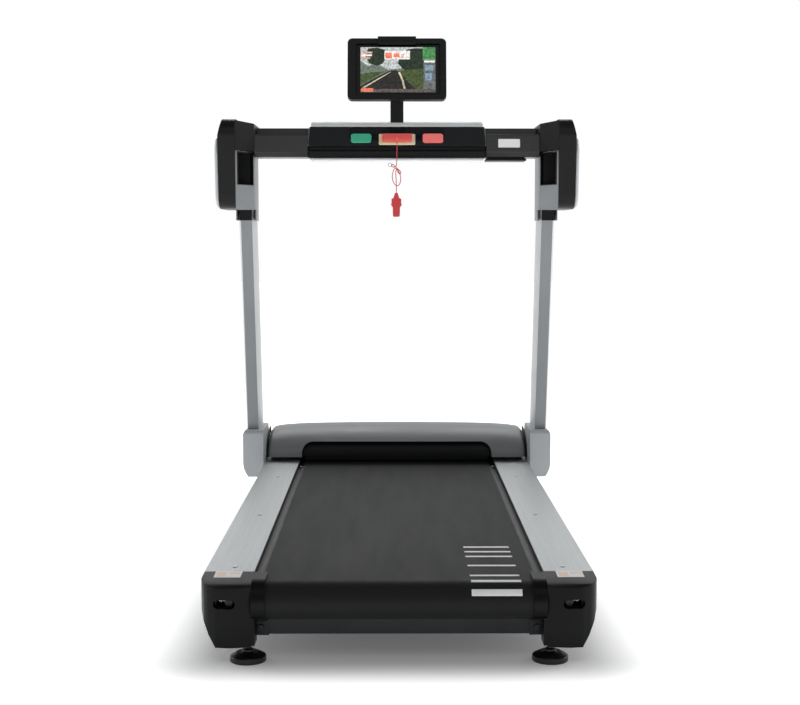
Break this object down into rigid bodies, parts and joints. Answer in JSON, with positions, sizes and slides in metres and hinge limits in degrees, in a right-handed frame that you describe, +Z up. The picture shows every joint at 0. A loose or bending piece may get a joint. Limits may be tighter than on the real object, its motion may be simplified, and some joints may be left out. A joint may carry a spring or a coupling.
{
  "type": "motorised treadmill",
  "caption": "Flat-deck motorised treadmill with wide side rails, two leaning posts, a slim console bar with buttons and safety key, and a tablet holder.",
  "frame": {"origin": "centre of the footprint, on the floor", "axes": "+Y to the front, where the motor hood is and the way the user faces; +X to the user's right; +Z up"},
  "size_m": [1.036, 2.0015, 1.4495],
  "materials": {
    "frame_paint": "satin black powder coat",
    "rail_aluminium": "brushed along its length",
    "bright_steel": "bright zinc and ground steel",
    "roller_steel": "turned steel",
    "post_paint": "satin silver paint",
    "deck_board": "black-faced waxed fibreboard",
    "belt_pvc": "fine diamond texture",
    "cushion_rubber": "soft black",
    "drive_rubber": "ribbed black",
    "motor_paint": "cast grey",
    "controller_case": "ribbed heat sink",
    "hood_plastic": "satin mid grey",
    "silver_plastic": "satin silver",
    "black_plastic": "fine grained black",
    "gloss_black": "polished black",
    "circuit_board": "green resist",
    "foot_rubber": "moulded black",
    "start_green": "translucent green",
    "stop_red": "translucent red",
    "socket_yellow": "pale yellow",
    "key_red": "moulded red",
    "lanyard_red": "braided cord",
    "tablet_glass": "glass-fronted tablet",
    "wheel_plastic": "hard rolling tread"
  },
  "bodies": {
    "machine": {"frame_members": "frame_paint", "rear_crossmember": "frame_paint", "crossmembers": "frame_paint", "running_deck": "deck_board", "deck_cushions": "cushion_rubber", "running_belt": "belt_pvc", "roller_axles": "bright_steel", "drive_belt": "drive_rubber", "drive_motor": "motor_paint", "motor_controller": "controller_case", "base_pan": "frame_paint", "motor_hood": "hood_plastic", "hood_skirt": "black_plastic", "foot_rails": "rail_aluminium", "end_caps": "black_plastic", "fasteners": "bright_steel", "bracket_covers": "silver_plastic", "post_left": "post_paint", "post_right": "post_paint", "neck_housing_left": "silver_plastic", "neck_housing_right": "silver_plastic", "neck_collars": "black_plastic", "pocket_liners": "black_plastic", "pod_shell_left": "black_plastic", "pod_shell_right": "black_plastic", "pod_covers": "silver_plastic", "console_beam": "frame_paint", "side_tray_left": "black_plastic", "side_tray_right": "black_plastic", "console_body": "black_plastic", "console_panel": "gloss_black", "console_back_cover": "silver_plastic", "console_board": "circuit_board", "sensor_box": "black_plastic", "key_socket": "socket_yellow", "tablet_stem": "black_plastic", "power_inlet": "black_plastic"},
    "rear_roller": {"rear_roller": "roller_steel", "rear_bearings": "bright_steel"},
    "front_roller": {"front_roller": "roller_steel", "front_bearings": "bright_steel"},
    "motor_rotor": {"motor_flywheel": "bright_steel"},
    "rear_foot_left": {"rear_foot_left": "foot_rubber"},
    "rear_foot_right": {"rear_foot_right": "foot_rubber"},
    "start_button": {"start_button": "start_green"},
    "stop_button": {"stop_button": "stop_red"},
    "safety_key": {"safety_key": "key_red", "lanyard_cord": "lanyard_red", "lanyard_hank": "lanyard_red", "clip_body": "key_red"},
    "clip_lever": {"clip_lever": "key_red"},
    "tablet_holder": {"tablet_holder": "black_plastic", "tablet": "tablet_glass"},
    "holder_clamp": {"holder_clamp": "black_plastic"},
    "lift_frame": {"lift_frame": "frame_paint"},
    "actuator_body": {"actuator_body": "motor_paint"},
    "actuator_rod": {"actuator_rod": "bright_steel"},
    "wheel_left": {"wheel_left": "wheel_plastic"},
    "wheel_right": {"wheel_right": "wheel_plastic"},
    "power_switch": {"power_switch": "gloss_black"}
  },
  "joints": [
    {"name": "front_roller_spin", "type": "hinge", "parent": "machine", "child": "front_roller", "pos_m": [0, 0.69, 0.126], "axis": [1, 0, 0], "continuous": true},
    {"name": "rear_roller_spin", "type": "hinge", "parent": "machine", "child": "rear_roller", "pos_m": [0, -0.955, 0.126], "axis": [1, 0, 0], "continuous": true},
    {"name": "motor_spin", "type": "hinge", "parent": "machine", "child": "motor_rotor", "pos_m": [-0.28, 0.862, 0.152], "axis": [1, 0, 0], "continuous": true},
    {"name": "rear_foot_left_screw", "type": "slide", "parent": "machine", "child": "rear_foot_left", "axis": [0, 0, -1], "range_m": [0, 0.015]},
    {"name": "rear_foot_right_screw", "type": "slide", "parent": "machine", "child": "rear_foot_right", "axis": [0, 0, -1], "range_m": [0, 0.015]},
    {"name": "start_press", "type": "slide", "parent": "machine", "child": "start_button", "axis": [0, 0.7071, -0.7071], "range_m": [0, 0.002], "stiffness_N_per_m": 500, "springref_m": -0.003},
    {"name": "stop_press", "type": "slide", "parent": "machine", "child": "stop_button", "axis": [0, 0.7071, -0.7071], "range_m": [0, 0.002], "stiffness_N_per_m": 500, "springref_m": -0.003},
    {"name": "key_pull", "type": "slide", "parent": "machine", "child": "safety_key", "axis": [0, -0.7071, 0.7071], "range_m": [0, 0.04]},
    {"name": "clip_squeeze", "type": "hinge", "parent": "safety_key", "child": "clip_lever", "pos_m": [-0.002, 0.231, 0.967], "axis": [1, 0, 0], "range_deg": [0, 12], "stiffness_Nm_per_rad": 0.08, "springref_deg": -17.19},
    {"name": "holder_tilt", "type": "hinge", "parent": "machine", "child": "tablet_holder", "pos_m": [0, 0.30765, 1.34767], "axis": [1, 0, 0], "range_deg": [-15, 12]},
    {"name": "clamp_lift", "type": "slide", "parent": "tablet_holder", "child": "holder_clamp", "axis": [0, 0.2079, 0.9781], "range_m": [0, 0.03], "stiffness_N_per_m": 250, "springref_m": -0.02},
    {"name": "incline_lift", "type": "hinge", "parent": "machine", "child": "lift_frame", "pos_m": [0, 0.56, 0.06], "axis": [-1, 0, 0], "range_deg": [0, 33]},
    {"name": "actuator_swing", "type": "hinge", "parent": "machine", "child": "actuator_body", "pos_m": [0, 0.808, 0.238], "axis": [1, 0, 0], "range_deg": [0, 2.1]},
    {"name": "actuator_extend", "type": "slide", "parent": "actuator_body", "child": "actuator_rod", "axis": [0, -0.4073, -0.9133], "range_m": [0, 0.0945]},
    {"name": "wheel_left_roll", "type": "hinge", "parent": "lift_frame", "child": "wheel_left", "pos_m": [-0.333, 0.94018, 0.035], "axis": [1, 0, 0], "continuous": true},
    {"name": "wheel_right_roll", "type": "hinge", "parent": "lift_frame", "child": "wheel_right", "pos_m": [0.333, 0.94018, 0.035], "axis": [1, 0, 0], "continuous": true},
    {"name": "power_rocker", "type": "hinge", "parent": "machine", "child": "power_switch", "pos_m": [0.252, 0.991, 0.11], "axis": [1, 0, 0], "range_deg": [0, 14]}
  ],
  "couplings": [
    {"joint": "rear_roller_spin", "follows": "front_roller_spin", "ratio": 1},
    {"joint": "motor_spin", "follows": "front_roller_spin", "ratio": 1.9465},
    {"joint": "actuator_swing", "follows": "incline_lift", "ratio": 0.06},
    {"joint": "actuator_extend", "follows": "incline_lift", "m_per_rad": 0.1619}
  ]
}
